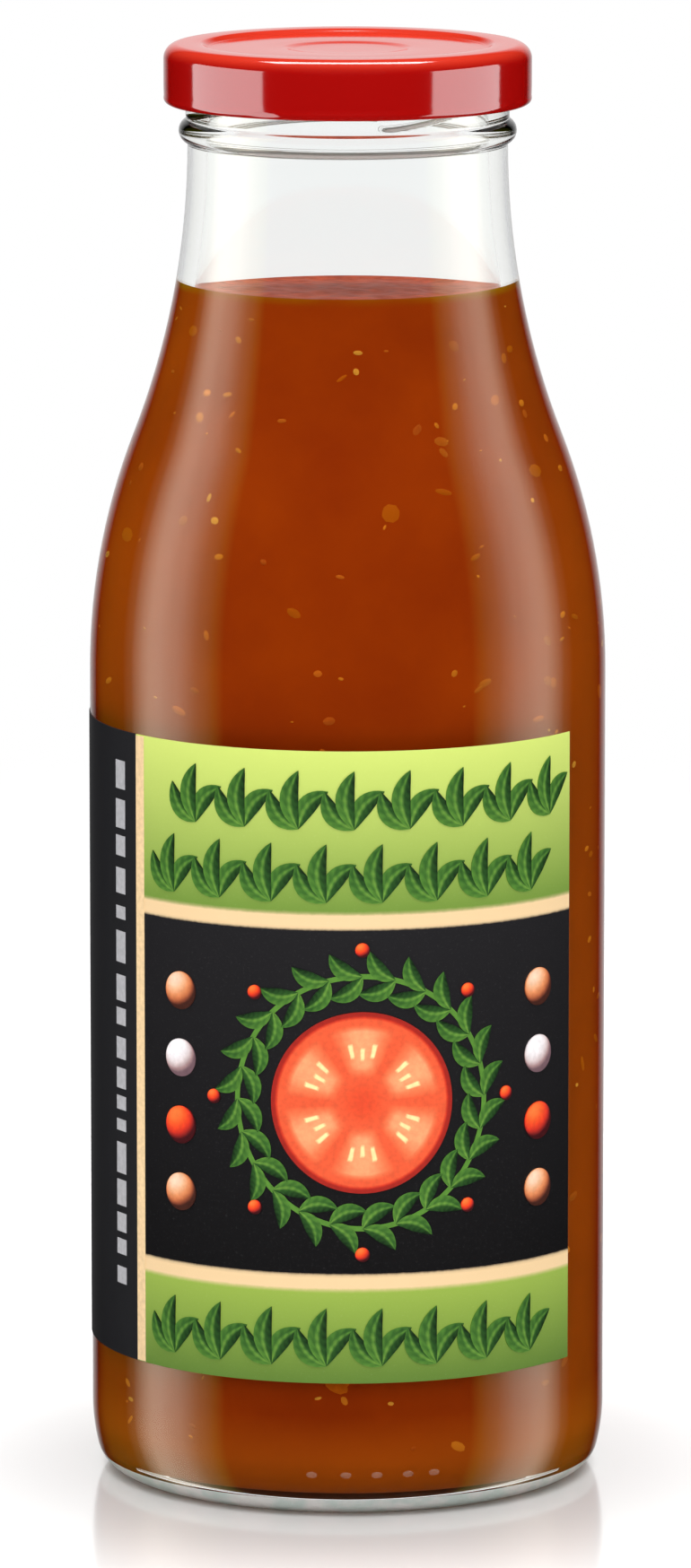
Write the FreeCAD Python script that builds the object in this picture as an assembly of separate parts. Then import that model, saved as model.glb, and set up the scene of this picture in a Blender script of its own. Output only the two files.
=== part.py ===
import FreeCAD, Part
import math
import os

from FreeCAD import Vector

# A half-kilo jar of tomato pulp: a round-shouldered glass jar with a twist-off finish, a pressed steel
# lug lid with its sealing ring, the pulp that fills the jar to just below the neck, and a paper label.
# Millimetres, +Z up, origin on the table at the middle of the base. The label's front faces -Y.
# Azimuths are degrees from the front, growing towards +X, which is anticlockwise seen from above.

# --- Jar body ---
RIM_HEIGHT = 197.2            # table to the sealing rim
BODY_RADIUS = 35.5
WALL = 2.6                    # glass thickness in body, shoulder and neck

# --- Base: bearing ring, push-up and heel ---
HEEL_RADIUS = 4.3             # tight lower curve of the heel
HEEL_TAPER = 0.6              # what the slack upper curve of the heel takes off the radius
HEEL_HEIGHT = 9.5             # where the heel runs into the straight body
BEARING_WIDTH = 1.8           # flat ring that the jar stands on
PUSH_UP = 2.6                 # hollow under the base
CROWN_THICKNESS = 2.8         # glass at the middle of the base
BASE_THICKNESS = 2.5          # glass over the bearing ring
FLOOR_CORNER = 5.0            # inside corner between floor and wall

# --- Shoulder: two arcs, tangent to body, neck and each other ---
SHOULDER_START = 112.0
SHOULDER_SHARE = 0.45         # the lower, convex arc's share of the curve
NECK_RADIUS = 21.9

# --- Finish: bead, plain wall, rim and four thread ribs ---
FINISH_STEP = 0.2             # how far the finish wall lies outside the neck
RIM_ROUND = 0.8
BEAD_RADIUS = 1.75            # curvature of the bead under the lid
BEAD_REACH = 1.0              # how far the bead stands out of the finish wall
BEAD_FILLET = 0.35            # where it runs into the neck and the wall
THREAD_STARTS = 4
RIB_RADIUS = 0.95             # of the rib's round section
RIB_REACH = 1.3               # how far a rib stands out of the finish wall
RIB_SPAN = 50.0               # degrees at full height, between the run-outs
RIB_LEAN = 9.7                # degrees, climb of a rib at its middle
RIB_END_RADIUS = 6.0          # tighter bend that sinks each end into the wall
RIB_SINK = 0.3                # how far a sunk end's middle lies below the wall
FIRST_RIB = 46.5              # azimuth of the middle of one rib

# --- Lid ---
LID_HEIGHT = 8.2
LID_GAP = 1.95                # bare glass between the lid's edge and the bead
PLATE = 0.22                  # tinplate thickness
CROWN_RADIUS = 2.05           # bend between top and skirt
CURL_RADIUS = 0.8             # rolled edge of the skirt
CURL_CLEARANCE = 0.15         # between the curl and the thread ribs
RECESS = 0.6                  # how far the middle panel lies below the outer ring
RECESS_SLOPE = 1.3            # width of the slope down to the panel
BUTTON_RADIUS = 9.0           # vacuum button, drawn down in a sealed jar
BUTTON_DEPTH = 0.25
BUTTON_SLOPE = 2.0

# --- Lugs: bites of the curl, pressed in under the ribs ---
LUG_OFFSET = 17.0             # degrees up the rib, from its middle to the middle of the lug that it holds
LUG_SPAN = 14.0               # degrees
LUG_THICKNESS = 0.7
LUG_LIFT = 0.15               # lug above the lowest point of the curl
LUG_CLEARANCE = 0.1           # between a lug and the rib above it
LUG_GAP = 0.6                 # between a lug's tip and the finish wall
LUG_CORNER = 1.0
DENT_HEIGHT = 1.3             # flat that the tool leaves on the outside of the curl
DENT_DEPTH = 0.55

# --- Sealing ring ---
SEAL_THICKNESS = 0.8
SEAL_MARGIN = 0.1             # clear of the bends at both sides of the lid's ring

# --- Pulp ---
HEAD_SPACE = 32.6             # from the rim down to the pulp, on the axis
FILL_TILT = 2.4               # degrees, the thick pulp stands higher at the front

# --- Label, on the straight part of the body ---
LABEL_LOW_MARGIN = 9.5        # above the heel
LABEL_HIGH_MARGIN = 5.9       # below the shoulder
LABEL_THICKNESS = 0.12
LABEL_RIGHT_EDGE = 58.0       # azimuth of the edge that shows at the right
LABEL_WRAP = 258.0            # degrees that the label covers, leftwards and round the back

# What follows from them: the lid sits on the rim, and the bead, neck and ribs lie under its edge.
FINISH_RADIUS = NECK_RADIUS + FINISH_STEP
LID_RADIUS = FINISH_RADIUS + RIB_REACH + CURL_CLEARANCE + 2 * CURL_RADIUS
LID_TOP = RIM_HEIGHT + SEAL_THICKNESS + PLATE
LID_BOTTOM = LID_TOP - LID_HEIGHT
RING_INNER = NECK_RADIUS - WALL + RIM_ROUND + SEAL_MARGIN
RING_OUTER = LID_RADIUS - CROWN_RADIUS
BEAD_CENTRE = (FINISH_RADIUS + BEAD_REACH - BEAD_RADIUS, LID_BOTTOM - LID_GAP - BEAD_RADIUS)
NECK_TOP = BEAD_CENTRE[1] - math.sqrt(
    (BEAD_RADIUS + BEAD_FILLET) ** 2 - (NECK_RADIUS + BEAD_FILLET - BEAD_CENTRE[0]) ** 2)
BEARING_OUTER = BODY_RADIUS - HEEL_RADIUS - HEEL_TAPER
BEARING_INNER = BEARING_OUTER - BEARING_WIDTH
LUG_TOP = LID_BOTTOM + LUG_LIFT + LUG_THICKNESS
RIB_CENTRE_RADIUS = FINISH_RADIUS + RIB_REACH - RIB_RADIUS
FILL_LEVEL = RIM_HEIGHT - HEAD_SPACE
LABEL_BOTTOM = HEEL_HEIGHT + LABEL_LOW_MARGIN
LABEL_TOP = SHOULDER_START - LABEL_HIGH_MARGIN


def point(radius, height):
    """A point of an outline, in the plane that is turned about the axis."""
    return Vector(radius, 0, height)


def line(start, end):
    return Part.LineSegment(point(*start), point(*end)).toShape()


def chain(corners):
    """Straight edges from corner to corner."""
    return [line(a, b) for a, b in zip(corners, corners[1:])]


def bend(centre, radius, start, end):
    """Arc about a centre, from one angle to another, in degrees above straight outwards."""
    angles = [math.radians(a) for a in (start, (start + end) / 2, end)]
    on_arc = [point(centre[0] + radius * math.cos(a), centre[1] + radius * math.sin(a)) for a in angles]
    return Part.Arc(*on_arc).toShape()


def dome(crown, edge):
    """Arc from its crown on the axis down to its edge, level at the crown."""
    drop = crown[1] - edge[1]
    radius = (edge[0] ** 2 + drop ** 2) / (2 * drop)
    half_drop = radius - math.sqrt(radius ** 2 - (edge[0] / 2) ** 2)
    return Part.Arc(point(*crown), point(edge[0] / 2, crown[1] - half_drop), point(*edge)).toShape()


def dome_height_at(crown, through, radius):
    """Height, at a radius, of the dome that has this crown and passes through a point."""
    drop = crown[1] - through[1]
    ball = (through[0] ** 2 + drop ** 2) / (2 * drop)
    return crown[1] - ball + math.sqrt(ball ** 2 - radius ** 2)


def ends(edge):
    """First and last point of an outline's edge, as (radius, height)."""
    first = edge.valueAt(edge.FirstParameter)
    last = edge.valueAt(edge.LastParameter)
    return (first.x, first.z), (last.x, last.z)


def turned(edges):
    """Solid from an outline that starts on the axis, closed by straight edges and turned about it."""
    start = ends(edges[0])[0]
    end = ends(edges[-1])[1]
    top = (0, end[1])
    wire = Part.Wire(edges + [line(end, top), line(top, start)])
    return Part.Face(wire).revolve(Vector(0, 0, 0), Vector(0, 0, 1), 360)


def facing(shape, azimuth):
    """Turn what was modelled on the +X side so that it faces an azimuth."""
    shape = shape.copy()
    shape.rotate(Vector(0, 0, 0), Vector(0, 0, 1), azimuth - 90)
    return shape


def circle_at(shape, radius, height):
    """The circular edge of a turned shape at this radius and height."""
    for edge in shape.Edges:
        box = edge.BoundBox
        level = abs(box.ZMin - height) < 0.01 and abs(box.ZMax - height) < 0.01
        if level and abs(box.XMax - radius) < 0.01 and box.XLength > radius:
            return edge
    raise ValueError("no circle of radius %.2f at height %.2f" % (radius, height))


def shoulder(inset):
    """The S of the shoulder, set in from the outside by a wall: convex below, concave above."""
    rise = NECK_TOP - SHOULDER_START
    step = BODY_RADIUS - NECK_RADIUS
    both_radii = (rise ** 2 + step ** 2) / (2 * step)
    lower = SHOULDER_SHARE * both_radii
    upper = both_radii - lower
    lean = math.degrees(math.asin(rise / both_radii))
    return [
        bend((BODY_RADIUS - lower, SHOULDER_START), lower - inset, 0, lean),
        bend((NECK_RADIUS + upper, NECK_TOP), upper + inset, 180 + lean, 180),
    ]


def heel():
    """Tight arc up from the bearing ring, then a slack one that runs into the body."""
    inset = HEEL_RADIUS + HEEL_TAPER
    slack = (inset ** 2 + (HEEL_HEIGHT - HEEL_RADIUS) ** 2 - HEEL_RADIUS ** 2) / (2 * HEEL_TAPER)
    meet = -math.degrees(math.atan2(HEEL_HEIGHT - HEEL_RADIUS, slack - inset))
    return [
        bend((BEARING_OUTER, HEEL_RADIUS), HEEL_RADIUS, -90, meet),
        bend((BODY_RADIUS - slack, HEEL_HEIGHT), slack, meet, 0),
    ]


def bead():
    """Round ring under the lid, with a hollow fillet into the neck and another into the finish wall."""
    both = BEAD_RADIUS + BEAD_FILLET
    below = math.degrees(math.acos((NECK_RADIUS + BEAD_FILLET - BEAD_CENTRE[0]) / both))
    above = math.degrees(math.acos((FINISH_RADIUS + BEAD_FILLET - BEAD_CENTRE[0]) / both))
    wall_start = BEAD_CENTRE[1] + both * math.sin(math.radians(above))
    return [
        bend((NECK_RADIUS + BEAD_FILLET, NECK_TOP), BEAD_FILLET, 180, 180 - below),
        bend(BEAD_CENTRE, BEAD_RADIUS, -below, above),
        bend((FINISH_RADIUS + BEAD_FILLET, wall_start), BEAD_FILLET, 180 + above, 180),
    ]


def cavity():
    """Inside of the jar, from its domed floor out through the mouth."""
    inner = BODY_RADIUS - WALL
    bore = NECK_RADIUS - WALL
    crown = (0, PUSH_UP + CROWN_THICKNESS)
    corner = (inner, dome_height_at(crown, (BEARING_OUTER, BASE_THICKNESS), inner))
    curves = shoulder(WALL)
    flare = bend((bore + RIM_ROUND, RIM_HEIGHT - RIM_ROUND), RIM_ROUND, 180, 90)
    outline = [
        dome(crown, corner),
        line(corner, (inner, SHOULDER_START)),
        *curves,
        line((bore, NECK_TOP), (bore, RIM_HEIGHT - RIM_ROUND)),
        flare,
    ]
    inside = turned(outline)
    return inside.makeFillet(FLOOR_CORNER, [circle_at(inside, *corner)])


def rib_height():
    """Height of a rib's middle, such that the rib just clears the lug that it holds down."""
    near_edge = math.radians(LUG_OFFSET - LUG_SPAN / 2)
    climb = RIB_CENTRE_RADIUS * math.sin(near_edge) * math.tan(math.radians(RIB_LEAN))
    tip = FINISH_RADIUS + LUG_GAP - RIB_CENTRE_RADIUS
    underside = math.sqrt(RIB_RADIUS ** 2 - tip ** 2)
    return LUG_TOP + LUG_CLEARANCE + underside - climb


def thread_rib():
    """One rib: a round bar on a leaning arc, with a tighter bend at each end that sinks it in the wall."""
    upright = Vector(0, 0, 1)
    bar = Part.Face(Part.Wire(Part.makeCircle(RIB_RADIUS, Vector(RIB_CENTRE_RADIUS, 0, 0), Vector(0, 1, 0))))
    end_centre = RIB_CENTRE_RADIUS - RIB_END_RADIUS
    sunk = FINISH_RADIUS - RIB_SINK - RIB_RADIUS / 2
    cosine = (sunk ** 2 - end_centre ** 2 - RIB_END_RADIUS ** 2) / (2 * end_centre * RIB_END_RADIUS)
    end_turn = math.degrees(math.acos(cosine))
    pieces = [bar.revolve(Vector(0, 0, 0), upright, RIB_SPAN)]
    pieces[0].rotate(Vector(0, 0, 0), upright, -RIB_SPAN / 2)
    for side in (-1, 1):
        run_out = bar.revolve(Vector(end_centre, 0, 0), upright, side * end_turn)
        run_out.rotate(Vector(0, 0, 0), upright, side * RIB_SPAN / 2)
        pieces.append(run_out)
    rib = pieces[0].fuse(pieces[1:])
    rib.rotate(Vector(0, 0, 0), Vector(1, 0, 0), RIB_LEAN)
    rib.translate(Vector(0, 0, rib_height()))
    return rib


def glass_jar(inside):
    """The moulded jar: turned outside, hollowed, with its thread ribs fused on."""
    floor_arc = dome((0, PUSH_UP), (BEARING_INNER, 0))
    heel_arcs = heel()
    shoulder_arcs = shoulder(0)
    bead_arcs = bead()
    rim_corner = (FINISH_RADIUS - RIM_ROUND, RIM_HEIGHT - RIM_ROUND)
    outline = [
        floor_arc,
        line((BEARING_INNER, 0), (BEARING_OUTER, 0)),
        *heel_arcs,
        line((BODY_RADIUS, HEEL_HEIGHT), (BODY_RADIUS, SHOULDER_START)),
        *shoulder_arcs,
        *bead_arcs,
        line(ends(bead_arcs[-1])[1], (FINISH_RADIUS, rim_corner[1])),
        bend(rim_corner, RIM_ROUND, 0, 90),
    ]
    jar = turned(outline).cut(inside)
    rib = thread_rib()
    ribs = [facing(rib, FIRST_RIB + start * 360 / THREAD_STARTS) for start in range(THREAD_STARTS)]
    return jar.fuse(ribs).removeSplitter()


def lid_shell():
    """The pressed plate: dished button, panel, raised ring, crown bend and straight skirt."""
    panel = LID_TOP - RECESS
    button = panel - BUTTON_DEPTH
    curl_height = LID_BOTTOM + CURL_RADIUS
    crown_centre = (RING_OUTER, LID_TOP - CROWN_RADIUS)
    steps = [
        (0, button),
        (BUTTON_RADIUS - BUTTON_SLOPE, button),
        (BUTTON_RADIUS, panel),
        (RING_INNER - RECESS_SLOPE, panel),
        (RING_INNER, LID_TOP),
        (RING_OUTER, LID_TOP),
    ]
    under = [(radius, height - PLATE) for radius, height in steps]
    skirt_inside = LID_RADIUS - PLATE
    skirt = [
        (LID_RADIUS, crown_centre[1]),
        (LID_RADIUS, curl_height),
        (skirt_inside, curl_height),
        (skirt_inside, crown_centre[1]),
    ]
    outline = [
        *chain(steps),
        bend(crown_centre, CROWN_RADIUS, 90, 0),
        *chain(skirt),
        bend(crown_centre, CROWN_RADIUS - PLATE, 0, 90),
        *chain(under[::-1] + steps[:1]),
    ]
    return Part.Face(Part.Wire(outline)).revolve(Vector(0, 0, 0), Vector(0, 0, 1), 360)


def lug():
    """One lug: folded plate that reaches in from the curl, with rounded corners at its tip."""
    tip = FINISH_RADIUS + LUG_GAP
    root = LID_RADIUS - CURL_RADIUS
    corners = [(tip, LUG_TOP - LUG_THICKNESS), (root, LUG_TOP - LUG_THICKNESS), (root, LUG_TOP), (tip, LUG_TOP)]
    plate = Part.Face(Part.Wire(chain(corners + corners[:1]))).revolve(Vector(0, 0, 0), Vector(0, 0, 1), LUG_SPAN)
    upright = [
        edge for edge in plate.Edges
        if edge.BoundBox.ZLength > LUG_THICKNESS / 2
        and math.hypot(edge.CenterOfMass.x, edge.CenterOfMass.y) < tip + 0.01
    ]
    rounded = plate.makeFillet(LUG_CORNER, upright)
    rounded.rotate(Vector(0, 0, 0), Vector(0, 0, 1), -LUG_SPAN / 2)
    return rounded


def lug_dent():
    """Block whose tilted face leaves the flat that shows outside a lug, low on the curl."""
    side = 4 * CURL_RADIUS + LID_RADIUS / 2
    block = Part.makeBox(side, side, side, Vector(0, -side / 2, -side / 2))
    lean = math.degrees(math.atan2(DENT_DEPTH, DENT_HEIGHT))
    block.rotate(Vector(0, 0, 0), Vector(0, 1, 0), lean)
    block.translate(Vector(LID_RADIUS, 0, LID_BOTTOM + DENT_HEIGHT))
    return block


def lid():
    """Plate, rolled edge and four lugs."""
    curl = Part.makeTorus(LID_RADIUS - CURL_RADIUS, CURL_RADIUS, Vector(0, 0, LID_BOTTOM + CURL_RADIUS))
    azimuths = [FIRST_RIB + LUG_OFFSET + start * 360 / THREAD_STARTS for start in range(THREAD_STARTS)]
    lugs = [facing(lug(), azimuth) for azimuth in azimuths]
    dents = [facing(lug_dent(), azimuth) for azimuth in azimuths]
    return lid_shell().fuse([curl.cut(dents)] + lugs).cut(dents).removeSplitter()


def lid_seal():
    """Flat ring of sealing compound between the glass rim and the lid's raised ring."""
    inner = RING_INNER + SEAL_MARGIN
    outer = RING_OUTER - SEAL_MARGIN
    ring = Part.makeCylinder(outer, SEAL_THICKNESS, Vector(0, 0, RIM_HEIGHT))
    return ring.cut(Part.makeCylinder(inner, SEAL_THICKNESS, Vector(0, 0, RIM_HEIGHT)))


def tomato_pulp(inside):
    """The jar's inside below the surface of the pulp."""
    side = 4 * BODY_RADIUS
    below = Part.makeBox(side, side, 2 * RIM_HEIGHT, Vector(-side / 2, -side / 2, -2 * RIM_HEIGHT))
    below.rotate(Vector(0, 0, 0), Vector(1, 0, 0), -FILL_TILT)
    below.translate(Vector(0, 0, FILL_LEVEL))
    return inside.common(below)


def label():
    """Paper band glued round the straight part of the body."""
    inner = BODY_RADIUS
    outer = BODY_RADIUS + LABEL_THICKNESS
    corners = [(inner, LABEL_BOTTOM), (outer, LABEL_BOTTOM), (outer, LABEL_TOP), (inner, LABEL_TOP)]
    band = Part.Face(Part.Wire(chain(corners + corners[:1]))).revolve(Vector(0, 0, 0), Vector(0, 0, 1), LABEL_WRAP)
    return facing(band, LABEL_RIGHT_EDGE - LABEL_WRAP)


inside = cavity()
parts = {
    "glass_jar": glass_jar(inside),
    "lid": lid(),
    "lid_seal": lid_seal(),
    "tomato_pulp": tomato_pulp(inside),
    "label": label(),
}
os.makedirs("parts", exist_ok=True)
for name, shape in parts.items():
    shape.exportStep("parts/%s.step" % name)
    box = shape.optimalBoundingBox()
    print("%-12s solids %d  valid %s  volume %8.2f cm3  z %.2f to %.2f" % (
        name, len(shape.Solids), shape.isValid(), shape.Volume / 1000, box.ZMin, box.ZMax))
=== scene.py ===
import math

import bmesh
import bpy
import numpy as np
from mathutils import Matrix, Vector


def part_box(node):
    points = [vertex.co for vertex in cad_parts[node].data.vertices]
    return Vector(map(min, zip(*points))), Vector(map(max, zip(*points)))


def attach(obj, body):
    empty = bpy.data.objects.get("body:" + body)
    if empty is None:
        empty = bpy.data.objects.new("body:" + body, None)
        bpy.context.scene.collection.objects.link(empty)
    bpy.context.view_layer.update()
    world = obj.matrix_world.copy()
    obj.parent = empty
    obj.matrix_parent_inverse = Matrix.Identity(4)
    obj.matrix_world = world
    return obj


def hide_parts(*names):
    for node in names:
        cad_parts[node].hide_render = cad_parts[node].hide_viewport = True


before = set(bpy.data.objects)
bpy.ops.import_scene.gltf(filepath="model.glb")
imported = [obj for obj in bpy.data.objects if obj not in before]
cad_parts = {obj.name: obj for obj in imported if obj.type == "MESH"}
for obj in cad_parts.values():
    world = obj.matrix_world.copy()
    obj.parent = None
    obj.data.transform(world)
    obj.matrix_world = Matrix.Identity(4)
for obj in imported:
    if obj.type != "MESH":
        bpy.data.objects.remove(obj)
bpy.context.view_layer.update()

# The whole jar, as the imported model gives it.
# Lengths below are in millimetres times MM; azimuths are in degrees from the front, growing towards +X.
MM = 0.001
TAU = 2 * math.pi


# The camera: a long lens, straight in front of the label and looking down on it a little.
# Other views turn it about the jar.
CAMERA_PLACE = (-0.3 * MM, -1434.2 * MM, 339.5 * MM)
CAMERA_PITCH = 9.65           # degrees below level
LENS = 241.93                 # mm, on a frame 36 mm high

camera_data = bpy.data.cameras.new("camera")
camera_data.sensor_fit = "VERTICAL"
camera_data.sensor_height = 36.0
camera_data.lens = LENS
camera_data.clip_end = 50.0
camera = bpy.data.objects.new("camera", camera_data)
camera.location = CAMERA_PLACE
camera.rotation_euler = (math.radians(90 - CAMERA_PITCH), 0, 0)
bpy.context.scene.collection.objects.link(camera)
bpy.context.scene.camera = camera


# The studio: a pale glossy table top in a white room. Two curved soft boxes stand at the jar's sides and
# two flat ones at the lid's; one hangs over all, and a glow behind the jar shows in the table alone. They
# are seen only as reflections. The room and two wide fills light every side plainly.
TABLE_PAINTED_SHADOW = (0.575, 0.57, 0.57)  # painted shadow: darker by the jar, standing in for its shadow
TABLE_OUTER = (0.85, 0.85, 0.85)    # away from it
TABLE_SIZE = 6.0
TABLE_GLOSS = (0.95, 0.05)    # specular level by the jar, and away from it
TABLE_GLOSS_REACH = (0.038, 0.120)
TABLE_SHADOW_REACH = (0.040, 0.085)
TABLE_FADE = (0.15, 0.60)     # where the table top runs out into the white of the room
ROOM_LIGHT = 0.60             # radiance of the room, where 1 lights a surface at the colour it has
ROOM_MIRRORED = (0.88, 1.0, 0.75)   # y of a reflected ray where the room starts and is full; radiance
ROOM_BENT = (-0.8, 0.3, 0.5, 1.0)   # y of a ray bent by the glass, from and to; radiance at each
OVERHEAD_COLOUR = (1.0, 0.98, 0.97)
BOX_RADIUS = 0.9
BOX_BOTTOM = -0.9
BOX_TOP = 1.6
BOX_COLUMNS = 93
SIDE_GLOW = np.array([        # azimuth, then red, green and blue radiance
    (56, 0, 0, 0), (61, 0.6, 0.7, 0.1), (70, 1.6, 1.5, 0.7), (80, 3.3, 3.0, 2.1), (92, 4.3, 3.9, 2.9),
    (98, 4.0, 3.6, 2.6), (105, 2.1, 1.9, 1.2), (111, 0.6, 0.6, 0.2), (118, 0.2, 0.2, 0),
    (138, 0.1, 0.1, 0), (150, 0, 0, 0),
])
RIGHT_SHARE = 0.86            # of that, on the right
lit_by = {use: bpy.data.collections.new(use + "_pieces") for use in ("jar", "lid", "table")}


def grid_object(name, points, faces, material):
    """A smooth mesh object from an array of points (count, 3) and a list of faces."""
    mesh = bpy.data.meshes.new(name)
    mesh.from_pydata(np.asarray(points, float).reshape(-1, 3).tolist(), [], faces)
    mesh.shade_smooth()
    mesh.materials.append(material)
    piece = bpy.data.objects.new(name, mesh)
    bpy.context.scene.collection.objects.link(piece)
    return piece


def new_material(name, **values):
    """A material with one Principled shader; values are its sockets, with _ for a space in the name."""
    material = bpy.data.materials.new(name)
    material.use_nodes = True
    shader = material.node_tree.nodes["Principled BSDF"]
    for socket, value in values.items():
        shader.inputs[socket.replace("_", " ")].default_value = value
    return material, material.node_tree, shader


def around(radius, height, azimuth):
    """Points at a radius, height and azimuth (radians): x = r sin a, y = -r cos a."""
    radius, height, azimuth = np.broadcast_arrays(radius, height, azimuth)
    return np.stack([radius * np.sin(azimuth), -radius * np.cos(azimuth), height], -1)


def open_quads(rows, columns):
    """Quads of an open grid of points, rows by columns, in the order that faces out."""
    index = np.arange(rows * columns).reshape(rows, columns)
    return np.stack([index[:-1, :-1], index[:-1, 1:], index[1:, 1:], index[1:, :-1]], -1).reshape(-1, 4)


def store(piece, name, values, kind="FLOAT"):
    """Keep a number, a vector or a colour for each point of a piece, for its material to read."""
    field = {"FLOAT": "value", "FLOAT_VECTOR": "vector", "FLOAT_COLOR": "color"}[kind]
    attribute = piece.data.attributes.new(name, kind, "POINT")
    attribute.data.foreach_set(field, np.ravel(values).astype(np.float32))


def add(nodes, kind, **values):
    """A shader node. Values set its own fields, or its sockets by name or by number after an n."""
    node = nodes.nodes.new("ShaderNode" + kind)
    for name, value in values.items():
        if name[0] == "n" and name[1:].isdigit():
            socket = node.inputs[int(name[1:])]
        elif hasattr(node, name):
            setattr(node, name, value)
            continue
        else:
            socket = node.inputs[name.replace("_", " ")]
        if isinstance(value, bpy.types.NodeSocket):
            nodes.links.new(value, socket)
        else:
            socket.default_value = value
    return node


table_material, nodes, shader = new_material("table_lacquer", Roughness=0.13, IOR=1.45)
place = add(nodes, "TexCoord")
flat = add(nodes, "VectorMath", operation="MULTIPLY", n0=place.outputs["Object"], n1=(1, 1, 0))
distance = add(nodes, "VectorMath", operation="LENGTH", n0=flat.outputs[0])
gloss = add(nodes, "MapRange", interpolation_type="SMOOTHSTEP", Value=distance.outputs["Value"],
            From_Min=TABLE_GLOSS_REACH[0], From_Max=TABLE_GLOSS_REACH[1], To_Min=TABLE_GLOSS[0],
            To_Max=TABLE_GLOSS[1])
nodes.links.new(gloss.outputs[0], shader.inputs["Specular IOR Level"])
# Painted shadow: near the jar the table is painted a darker grey, standing in for the jar's shadow, and it
# fades out to the plain pale grey.
shadow_fade = add(nodes, "MapRange", interpolation_type="SMOOTHSTEP", Value=distance.outputs["Value"],
              From_Min=TABLE_SHADOW_REACH[0], From_Max=TABLE_SHADOW_REACH[1])
paint = add(nodes, "Mix", data_type="RGBA", n0=shadow_fade.outputs[0],
            n6=(*TABLE_PAINTED_SHADOW, 1), n7=(*TABLE_OUTER, 1))
nodes.links.new(paint.outputs[2], shader.inputs["Base Color"])
fade = add(nodes, "MapRange", interpolation_type="SMOOTHSTEP", Value=distance.outputs["Value"],
           From_Min=TABLE_FADE[0], From_Max=TABLE_FADE[1])
gone = add(nodes, "BsdfTransparent")
either = add(nodes, "MixShader", n0=fade.outputs[0], n1=shader.outputs[0], n2=gone.outputs[0])
nodes.links.new(either.outputs[0], nodes.nodes["Material Output"].inputs["Surface"])
half = TABLE_SIZE / 2
table = grid_object(
    "table", [(-half, -half, 0), (half, -half, 0), (half, half, 0), (-half, half, 0)], [(0, 1, 2, 3)],
    table_material)
lit_by["table"].objects.link(table)
table.visible_glossy = False
table.visible_transmission = False

room = bpy.data.worlds.new("room")
room.use_nodes = True
bpy.context.scene.world = room
nodes = room.node_tree
ray = add(nodes, "LightPath")
place = add(nodes, "TexCoord")
axes = add(nodes, "SeparateXYZ", n0=place.outputs["Generated"])
mirrored = add(nodes, "MapRange", Value=axes.outputs["Y"],
               From_Min=ROOM_MIRRORED[0], From_Max=ROOM_MIRRORED[1], To_Max=ROOM_MIRRORED[2])
bent = add(nodes, "MapRange", interpolation_type="SMOOTHSTEP", Value=axes.outputs["Y"],
           From_Min=ROOM_BENT[0], From_Max=ROOM_BENT[1], To_Min=ROOM_BENT[2], To_Max=ROOM_BENT[3])
light = add(nodes, "Mix", n0=ray.outputs["Is Glossy Ray"], n2=ROOM_LIGHT, n3=mirrored.outputs[0])
light = add(nodes, "Mix", n0=ray.outputs["Is Transmission Ray"], n2=light.outputs[0], n3=bent.outputs[0])
light = add(nodes, "Mix", n0=ray.outputs["Is Camera Ray"], n2=light.outputs[0], n3=1.0)
nodes.nodes["Background"].inputs["Color"].default_value = (1, 1, 1, 1)
nodes.links.new(light.outputs[0], nodes.nodes["Background"].inputs["Strength"])

box_light = bpy.data.materials.new("side_box_light")
box_light.use_nodes = True
nodes = box_light.node_tree
kept_glow = add(nodes, "Attribute", attribute_name="glow")
shining = add(nodes, "Emission", Color=kept_glow.outputs["Color"], Strength=1.0)
nodes.links.new(shining.outputs[0], nodes.nodes["Material Output"].inputs["Surface"])
box_azimuth = np.linspace(SIDE_GLOW[0, 0], SIDE_GLOW[-1, 0], BOX_COLUMNS)
glow = np.stack([np.interp(box_azimuth, SIDE_GLOW[:, 0], SIDE_GLOW[:, channel])
                 for channel in (1, 2, 3)], -1)
glow = np.pad(np.tile(glow, (2, 1)), ((0, 0), (0, 1)), constant_values=1)
for side, share in ((-1, 1.0), (1, RIGHT_SHARE)):
    wall = around(BOX_RADIUS, np.array([[BOX_BOTTOM], [BOX_TOP]]), np.radians(side * box_azimuth))
    box = grid_object("side_box", wall, open_quads(2, BOX_COLUMNS).tolist(), box_light)
    store(box, "glow", glow * share, "FLOAT_COLOR")
    for kind in ("camera", "diffuse", "transmission", "shadow", "volume_scatter"):
        setattr(box, "visible_" + kind, False)
    box.light_linking.receiver_collection = lit_by["jar"]

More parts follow.
